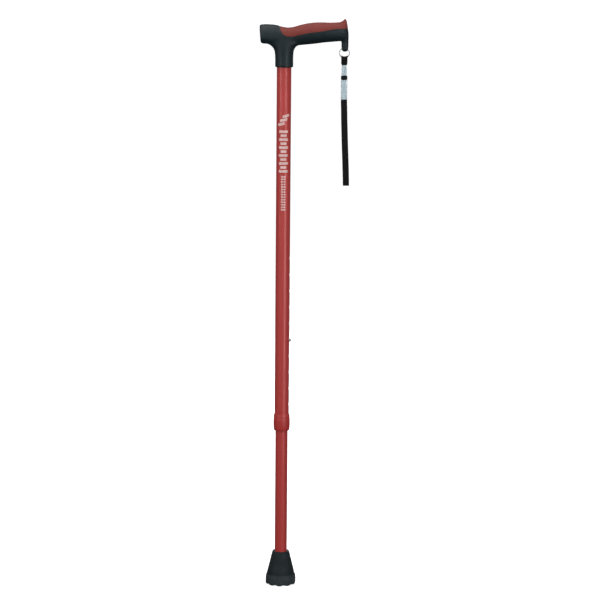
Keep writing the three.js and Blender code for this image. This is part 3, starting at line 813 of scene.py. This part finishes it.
def print_patch(radius, left, right, bottom, top, slant, corner):
    """A thin patch of ink on the tube's front, between two angles in degrees from the front.
    slant is how far, in mm, its right edge is higher than its left one."""
    steps = max(4, round((right - left) / 3))
    verts, faces = [], []
    width = math.radians(right - left) * radius
    for step in range(steps + 1):
        share = step / steps
        angle = math.radians(left + (right - left) * share) - math.pi / 2
        from_side = max(0, corner - width * min(share, 1 - share))
        cut = corner - math.sqrt(corner**2 - from_side**2)
        rise = slant * share
        for out, z in (
            (0, bottom + cut + rise), (PRINT_T, bottom + cut + rise),
            (PRINT_T, top - cut + rise), (0, top - cut + rise),
        ):
            r = radius + PRINT_STANDOFF + out
            verts.append((r * math.cos(angle), r * math.sin(angle), z))
    for step in range(steps):
        here = step * 4
        for k in range(4):
            m = (k + 1) % 4
            faces.append((here + k, here + m, here + 4 + m, here + 4 + k))
    faces += [(0, 1, 2, 3)[::-1], tuple(steps * 4 + k for k in range(4))]
    return new_object("patch", verts, faces)


def add_print():
    """A plain pattern: three slanted bars, a ladder of blocks and two rows of short dashes."""
    _, high = corners("upper_tube")
    radius = high[0]
    patches = []
    for n, (left, right) in enumerate(((-48, 8), (-30, 30), (-8, 48))):
        base = BARS_FROM + BAR_STEP * n
        patches.append(print_patch(radius, left, right, base, base + BAR_TALL, BAR_SLANT,
                                   BAR_CORNER))
    for n in range(BLOCKS):
        base = BLOCKS_FROM - BLOCK_STEP * n
        half = 38 if n % 2 == 0 else 24
        patches.append(print_patch(radius, -half, half, base, base + BLOCK_TALL, 0, BLOCK_CORNER))
    for n in range(DASHES):
        base = DASHES_FROM - DASH_STEP * n
        for left, right in ((-17, -2), (2, 17)):
            patches.append(print_patch(radius, left, right, base, base + DASH_TALL, 0, DASH_CORNER))
    fit_out(joined("tube_print", patches), "upper_shaft", None, PRINT_INK)


add_tubes()
add_print()


# ---- the height lock and the collar ----

BUTTON_R, BUTTON_DOME, BUTTON_FLANGE_T = 2.9, 2.2, 0.7
COLLAR_END_R = 11.9
COLLAR_LOWER_BORE, COLLAR_UPPER_BORE, COLLAR_LIP = 9.85, 11.4, 2.6
COLLAR_STEPS = 28
COLLAR_GROOVE = 0.16  # depth
COLLAR_ROUND_LOW, COLLAR_ROUND_HIGH = 0.9, 0.45


def add_button():
    """A domed button with a flange behind it that rests against the lower tube's wall."""
    low, high = corners("snap_button")
    back, tip = low[0], high[0]
    flange, front = (high[2] - low[2]) / 2, back + BUTTON_FLANGE_T
    outline = [(0, back), (flange, back), (flange, front), (BUTTON_R, front)]
    for step in range(13):
        angle = math.pi / 2 * step / 12
        rise = BUTTON_DOME * math.sin(angle)
        outline.append((BUTTON_R * math.cos(angle), tip - BUTTON_DOME + rise))
    outline[-1] = (0, tip)
    button = turned_to_x(lathe("snap_button_domed", outline, 48), middle_height("snap_button"))
    fit_out(button, "button", "button_steel", BUTTON_STEEL, "snap_button")


def add_collar():
    """A barrel-shaped collar with one shallow groove, stepped inside for the two tubes."""
    low, high = corners("locking_collar")
    bottom, top = low[2], high[2]
    middle_r, end_r = high[0], COLLAR_END_R
    lower_bore, upper_bore, lip = COLLAR_LOWER_BORE, COLLAR_UPPER_BORE, bottom + COLLAR_LIP
    outline = [(lower_bore, bottom + 0.3), (lower_bore + 0.3, bottom)]
    foot, head = COLLAR_ROUND_LOW, COLLAR_ROUND_HIGH
    outline += arc((end_r - foot, bottom + foot), foot, -90, -30, 4)
    for step in range(COLLAR_STEPS + 1):
        t = step / COLLAR_STEPS
        z = bottom + 1.2 + (top - bottom - 2.2) * t
        swell = min(1, 4.1 * t * (1 - t) + 0.04) ** 0.85
        groove = COLLAR_GROOVE * math.exp(-(((t - 0.8) * 28) ** 2) / 2)
        outline.append((end_r + (middle_r - end_r) * swell - groove, z))
    outline += arc((end_r - head, top - head), head, 10, 90, 4)
    outline += [(upper_bore + 0.05, top), (upper_bore, top - 0.2), (upper_bore, lip),
                (lower_bore, lip)]
    fit_out(lathe("locking_collar_turned", outline, 96, 30), "collar", "red_collar", COLLAR_RED,
            "locking_collar")


add_button()
add_collar()


# ---- the foot ----

TREADS = 10
FIRST_TREAD = math.radians(265)
TREAD_LIFT = 1.5  # how far the waves rise off the floor
RIM_FLUTE = 0.35
SOLE_CORNER = 2.4
SOLE_PAD_R = 9.1  # the plain pad in the middle, with two ring grooves
FOOT_BORE_R = 9.525 + 0.15  # the tube's radius and a little clearance
FOOT_BORE_FLOOR = 6.6
FOOT_CONE = curve_through([(19.2, 21.2), (24, 20.0), (33.6, 17.6), (46.4, 14.5), (54, 12.5)])


def foot_bend(r, z, angle):
    """Lifts the sole's edge into soft waves between the treads and flutes the rim above them."""
    wave = (0.5 - 0.5 * math.cos(TREADS * (angle - FIRST_TREAD))) ** 1.5
    reach = smoothstep(r, 8.5, 12.5)
    low = 1 - smoothstep(z, 2.5, 9.5)
    lift = TREAD_LIFT * wave * reach * low
    flute = RIM_FLUTE * wave * reach * (1 - smoothstep(z, 6, 13)) * smoothstep(r, 20, 23)
    return r - flute, z + lift * (1 - z / 14 if z < 14 else 0)


def add_foot():
    """The rubber foot: sole, rounded corner, rim, step, cone and bore, as one outline."""
    _, high = corners("ferrule")
    rim, top = high[0], high[2]
    bore, floor, cone, pad = FOOT_BORE_R, FOOT_BORE_FLOOR, FOOT_CONE, SOLE_PAD_R
    outline = [(0, 0.5), (2.6, 0.5), (3.0, 0.1), (3.2, 0), (4.4, 0), (4.6, 0.1), (4.9, 0.7),
               (5.6, 0.7), (5.9, 0.1), (6.1, 0), (7.4, 0), (7.6, 0.1), (7.9, 0.7), (8.6, 0.7),
               (8.9, 0.1), (pad, 0)]
    outline += [(pad + (rim - SOLE_CORNER - pad) * k / 14, 0) for k in range(1, 15)]
    outline += arc((rim - SOLE_CORNER, SOLE_CORNER), SOLE_CORNER, -80, 0, 8)
    outline += [(rim, 4), (rim, 5.6), (rim, 7.2), (rim - 0.1, 9), (rim - 0.3, 11), (rim - 0.6, 13),
                (rim - 1.0, 14.6)]
    outline += arc((rim - 1.9, 14.7), 0.9, 0, 80, 4)
    outline += [(21.72, 16.2), (21.6, 17.0), (21.1, 19.2)]
    outline += [(cone(z), z) for z in np.linspace(20.5, top - 1.4, 18)]
    outline += arc((cone(top - 0.7) - 0.7, top - 0.7), 0.7, 10, 90, 5)
    outline += [(bore + 0.7, top), (bore + 0.25, top - 0.25), (bore, top - 0.8), (bore, 30),
                (bore, floor), (0, floor)]
    foot = lathe("ferrule_moulded", outline, 240, 40, foot_bend)
    fit_out(foot, "lower_shaft", "foot_rubber", FOOT_RUBBER, "ferrule")


add_foot()


# ---- the split ring and the strap's hardware ----

WIRE_R = 0.8
RING_LAYER = 0.85  # each turn lies this far from the ring's middle plane
RING_SPAN = 640  # degrees of wire
RING_START = -40  # the angle of its first end, from +X
RING_STEPS = 320
CROSSING = (296, 344)  # where the wire passes from one turn to the other
LOOP_T = 0.9
LOOP_GAP = 0.35  # between the webbing and the ring's wire
PINCHED_WIDTH = 6.8  # of the webbing's ends inside the crimp
CRIMP_HOLLOW, BAND_HOLLOW = (7.1, 2.3, 0.5), (7.0, 2.4, 0.4)  # width, thickness and corner
CRIMP_CORNER, BAND_CORNER = 0.9, 1.3
DIMPLES = -2.6, 2.2  # heights from the crimp's middle
DIMPLE_SIZE = 1.9, 1.1  # half its width and height
DIMPLE_DEPTH = 0.35
KEEPER_WAIST = 0.3  # how much its middle draws in
BEADS, BEAD_DEPTH = (0.07, 0.93), 0.28  # heights as shares of the sleeve's
DOTS_BELOW, DOTS_ABOVE = 5.5, 5  # plain ends of the sleeve, under and over the dots
DOTS_LEFT = 2.2  # from the sleeve's middle
DOT_PITCH, DOT_R, DOT_DEPTH = 2.3, 0.62, 0.3


def ring_middle():
    """The ring's centre and the radius of its wire's middle line."""
    low, high = corners("split_ring")
    return ((low[0] + high[0]) / 2, (low[2] + high[2]) / 2), (high[2] - low[2]) / 2 - WIRE_R


def add_split_ring():
    """Nearly two turns of wire that pass from one layer to the other, with rounded ends."""
    (x, z), radius = ring_middle()
    points = []
    for step in range(RING_STEPS + 1):
        degrees = RING_SPAN * step / RING_STEPS
        cross = smoothstep(degrees, *CROSSING)
        angle = math.radians(degrees + RING_START)
        points.append((x + radius * math.cos(angle), RING_LAYER * (2 * cross - 1),
                       z + radius * math.sin(angle)))
    ahead = np.gradient(points, axis=0)
    rows = []
    for index, (place, way) in enumerate(zip(points, ahead)):
        side, out = square_to(way, (0, 1, 0))
        from_end = min(index, RING_STEPS - index) * math.radians(RING_SPAN / RING_STEPS) * radius
        size = WIRE_R * math.sqrt(max(0.02, 1 - max(0, 1 - from_end / WIRE_R) ** 2))
        rows.append([
            place + size * (math.cos(a) * side + math.sin(a) * out)
            for a in angles(20)
        ])
    fit_out(skin("split_ring_wire", rows, 50), "ring", "ring_steel", RING_CHROME, "split_ring")


def add_ring_loop():
    """Webbing over the bottom of the ring: both its ends go down into the crimp."""
    (x, ring_z), radius = ring_middle()
    _, crimp_high = corners("strap_crimp")
    wire_z = ring_z - radius
    arch = wire_z - 0.3
    reach = RING_LAYER + WIRE_R + LOOP_GAP + LOOP_T / 2
    top = crimp_high[2]
    rise = [(x, -0.5, top - 2.6), (x, -0.5, top - 1), (x, -0.56, top + 0.8), (x, -1.0, top + 3.6),
            (x, -1.7, top + 7)]
    over = [(x, -y, z) for y, z in arc((0, arch), reach, 0, 180, 12)]
    path = path_through([*rise, *over, *[(x, -y, z) for x, y, z in reversed(rise)]], 0.3)

    def width(from_end):
        return PINCHED_WIDTH + (WEB_WIDTH - PINCHED_WIDTH) * smoothstep(from_end, 1.8, 5.2)

    def lift(point):
        across = min(abs(point[0] - x), radius - 1)
        share = smoothstep(point[2], top + 1, wire_z - 2)
        return point + np.array([0, 0, (radius - math.sqrt(radius**2 - across**2)) * share])

    loop = webbing("ring_loop_webbing", path, width, LOOP_T, lift)
    fit_out(loop, None, "webbing", WEBBING, "ring_loop")
    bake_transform(loop)


def flat_ring(width, thick, corner, count=9, flat=26):
    """A rounded rectangle as a ring of (x, y) points, with points along its two wide sides."""
    ring = []
    for quarter, (sx, sy) in enumerate(((1, 1), (-1, 1), (-1, -1), (1, -1))):
        for step in range(count + 1):
            angle = math.pi / 2 * (quarter + step / count)
            ring.append((sx * (width / 2 - corner) + corner * math.cos(angle),
                         sy * (thick / 2 - corner) + corner * math.sin(angle)))
        if quarter % 2 == 0:
            half = width / 2 - corner
            ring += [(sx * half * (1 - 2 * step / flat), sy * thick / 2) for step in range(1, flat)]
    return ring


def band(name, x, layers, inner, bend=None):
    """A flat tube about the strap. layers are (width, thick, corner, z) from the bottom up, and
    inner is the same for its hollow without z."""
    rows = [[(x + px, py, z) for px, py in flat_ring(*size)] for *size, z in layers]
    if bend:
        rows = [[bend(p) for p in row] for row in rows]
    hollow = flat_ring(*inner)
    rows += [[(x + px, py, z) for px, py in hollow] for *_, z in (layers[-1], layers[0])]
    return skin(name, rows, 40, closed=True)


def eased(width, thick, corner, bottom, top, ease, profile=None, steps=30):
    """Layers for band(), with both ends rounded over. profile(t) swells or narrows the band."""
    layers = []
    for t in np.linspace(0, 1, steps):
        z = bottom + (top - bottom) * t
        from_end = min(z - bottom, top - z)
        pull = ease - math.sqrt(ease**2 - max(0, ease - from_end) ** 2)
        grow = profile(t) if profile else 0
        layers.append((width - 2 * pull + grow, thick - 2 * pull + grow, corner, z))
    return layers


def strap_piece(node):
    """A piece's middle along X, its width and thickness, and its bottom and top."""
    low, high = corners(node)
    return (low[0] + high[0]) / 2, high[0] - low[0], high[1] - low[1], low[2], high[2]


def add_crimp():
    """A folded clip: webbing enters its top, and two dimples pinch it front and back."""
    x, width, thick, bottom, top = strap_piece("strap_crimp")
    middle = (bottom + top) / 2

    def dimple(point):
        px, py, pz = point
        depth = 0
        for height in DIMPLES:
            away = math.hypot((px - x) / DIMPLE_SIZE[0], (pz - middle - height) / DIMPLE_SIZE[1])
            depth += DIMPLE_DEPTH * math.exp(-(away**2) * 1.6)
        return px, py - math.copysign(min(depth, abs(py)), py), pz

    layers = eased(width, thick, CRIMP_CORNER, bottom, top, 0.7, steps=60)
    crimp = band("strap_crimp_folded", x, layers, CRIMP_HOLLOW, dimple)
    fit_out(crimp, "strap", "strap_metal", STRAP_SILVER, "strap_crimp")


def add_keeper():
    """A moulded band, slightly narrower in the middle."""
    x, width, thick, bottom, top = strap_piece("strap_keeper")

    def waist(t):
        return -KEEPER_WAIST * math.exp(-(((t - 0.5) * 5) ** 2))

    layers = eased(width, thick, BAND_CORNER, bottom, top, 0.6, waist)
    keeper = band("strap_keeper_band", x, layers, BAND_HOLLOW)
    fit_out(keeper, "strap", "keeper_plastic", KEEPER_PLASTIC, "strap_keeper")


def add_sleeve():
    """A pressed metal sleeve with a bead rolled in at each end and a row of stamped dots."""
    x, width, thick, bottom, top = strap_piece("strap_sleeve")
    dots = np.arange(bottom + DOTS_BELOW, top - DOTS_ABOVE, DOT_PITCH)

    def stamp(point):
        px, py, pz = point
        away = math.hypot(px - x + DOTS_LEFT, pz - dots[np.argmin(abs(dots - pz))]) / DOT_R
        return px, py - math.copysign(DOT_DEPTH * math.exp(-(away**2)), py), pz

    def beads(t):
        return -BEAD_DEPTH * sum(math.exp(-(((t - at) * 60) ** 2)) for at in BEADS)

    layers = eased(width, thick, BAND_CORNER, bottom, top, 0.45, beads, steps=110)
    sleeve = band("strap_sleeve_pressed", x, layers, BAND_HOLLOW, stamp)
    fit_out(sleeve, "strap", "strap_metal", STRAP_SILVER, "strap_sleeve")


add_split_ring()
add_ring_loop()
add_crimp()
add_keeper()
add_sleeve()
fit_out(WRIST_LOOP, "strap", "webbing", WEBBING, "wrist_loop")


# ---- the spring clip inside the lower tube ----

CLIP_T = 0.6
CLIP_BEND_X, CLIP_BEND_R = -0.6, 2.3  # to the middle of its thickness
CLIP_KNEE = 10  # below the button
CLIP_END = 2.4  # rounding of its two ends


def add_clip():
    """A V of strip steel. Its near leg lies on the button's side, and its far leg on the other."""
    low, high = corners("snap_clip")
    knee = middle_height("snap_button") - CLIP_KNEE
    bend_z = low[2] + CLIP_BEND_R + CLIP_T / 2
    near, far = high[0] - CLIP_T / 2, low[0] + CLIP_T / 2
    line = [(near, high[2]), (near, knee), *arc((CLIP_BEND_X, bend_z), CLIP_BEND_R, 0, -180, 16),
            (far, high[2] - 3)]
    line = np.array(line)
    along = distances(line)
    steps = np.linspace(0, along[-1], 260)
    path = np.stack([np.interp(steps, along, line[:, k]) for k in (0, 1)], axis=1)
    for _ in range(12):
        path[1:-1] = (path[:-2] + 2 * path[1:-1] + path[2:]) / 4
    ahead = np.gradient(path, axis=0)
    ahead /= np.linalg.norm(ahead, axis=1)[:, None]
    rows = []
    for (x, z), (way_x, way_z), distance in zip(path, ahead, steps):
        from_end = min(distance, along[-1] - distance)
        pull = CLIP_END - math.sqrt(max(0.2, CLIP_END**2 - max(0, CLIP_END - from_end) ** 2))
        ring = flat_ring(high[1] - low[1] - 2 * pull, CLIP_T, 0.2, 3, 6)
        rows.append([(x - way_z * t, s, z + way_x * t) for s, t in ring])
    clip = skin("snap_clip_bent", rows, 40)
    fit_out(clip, None, "spring_steel", SPRING_STEEL, "snap_clip")
    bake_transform(clip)


add_clip()


# ---- pieces inside, whose CAD solids show ----

for node, material in (
    ("compression_ring", NYLON),
    ("lower_tube_cap", NYLON),
    ("ferrule_washer", SPRING_STEEL),
    ("strap_core", CORE_WEBBING),
):
    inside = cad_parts[node]
    inside.data.materials.clear()
    inside.data.materials.append(material)


# ---- floor and light ----

FLOOR_REACH = 300  # metres, as are the next three
BACKDROP_FOOT_R, BACKDROP_RIM_R = 24, 25
BACKDROP_TOP = 12
BACKDROP_FOOT = -0.4
FLOOR_DROP = 0.2  # millimetres under the foot
FLOOR_GLOW, BACKDROP_GLOW = 0.62, 1.0


def paper(name, glow):
    """Plain white paper that glows a little, so that it stays white."""
    mat = Material(
        name, Roughness=0.85, Specular_IOR_Level=0.1, Emission_Strength=glow,
        Emission_Color=(1, 1, 1, 1),
    )
    return mat.finish(mat.clouded(900, 2, (247, 247, 248), (250, 250, 250)))


def add_floor():
    """The floor, which stays under the foot at every height setting, and a far backdrop that rises
    round it."""
    corner = FLOOR_REACH / MM
    floor = new_object("floor", [
        (x * corner, y * corner, -FLOOR_DROP) for x, y in ((-1, -1), (1, -1), (1, 1), (-1, 1))
    ], [(0, 1, 2, 3)])
    floor.data.materials.append(paper("floor", FLOOR_GLOW))
    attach(floor, "lower_shaft")
    foot = BACKDROP_FOOT / MM
    outline = [(0, foot), (BACKDROP_FOOT_R / MM, foot), (BACKDROP_RIM_R / MM, BACKDROP_TOP / MM)]
    backdrop = lathe("backdrop", outline, 48)
    backdrop.data.materials.append(paper("backdrop", BACKDROP_GLOW))
    backdrop.visible_shadow = False
    for obj in (floor, backdrop):
        obj.visible_glossy = False
        obj.visible_diffuse = False


def add_light(name, azimuth, distance, height, size, power, aim=0.55):
    """A soft panel that faces the cane at the height aim, in metres. Azimuth 0 is the camera's
    side."""
    data = bpy.data.lights.new(name, "AREA")
    data.shape = "RECTANGLE"
    data.size, data.size_y = size
    data.energy = power
    light = placed(name, data)
    angle = math.radians(azimuth)
    light.location = (distance * math.sin(angle), -distance * math.cos(angle), height)
    light.rotation_mode = "QUATERNION"
    light.rotation_quaternion = (light.location - Vector((0, 0, aim))).to_track_quat("Z", "Y")


def add_world(low, high):
    """A plain sky, dim below and brighter above."""
    sky = Nodes(bpy.data.worlds.new("studio"), "Background", Color=(1, 1, 1, 1))
    up = sky.node("SeparateXYZ", {0: sky.node("TexCoord", {}, "Generated")}, "Z")
    sky.links.new(sky.span(up, -0.3, 0.7, low, high), sky.shader.inputs["Strength"])
    bpy.context.scene.world = sky.made


add_floor()
add_light("left_panel", -50, 1.8, 1.2, (0.35, 1.4), 13.5)
add_light("right_panel", 34, 1.9, 0.85, (0.35, 1.8), 15.6)
add_light("back_panel", 180, 2.2, 1.0, (0.9, 1.7), 12)
add_light("low_fill", -14, 2.0, 0.4, (1.4, 0.5), 2, 0.1)
add_light("low_side", 44, 1.35, 0.18, (0.3, 0.5), 1.4, 0.12)
add_light("top_panel", 0, 0.4, 2.6, (1.8, 1.8), 26)
add_world(0.07, 0.5)
bpy.context.scene.view_settings.view_transform = "Standard"
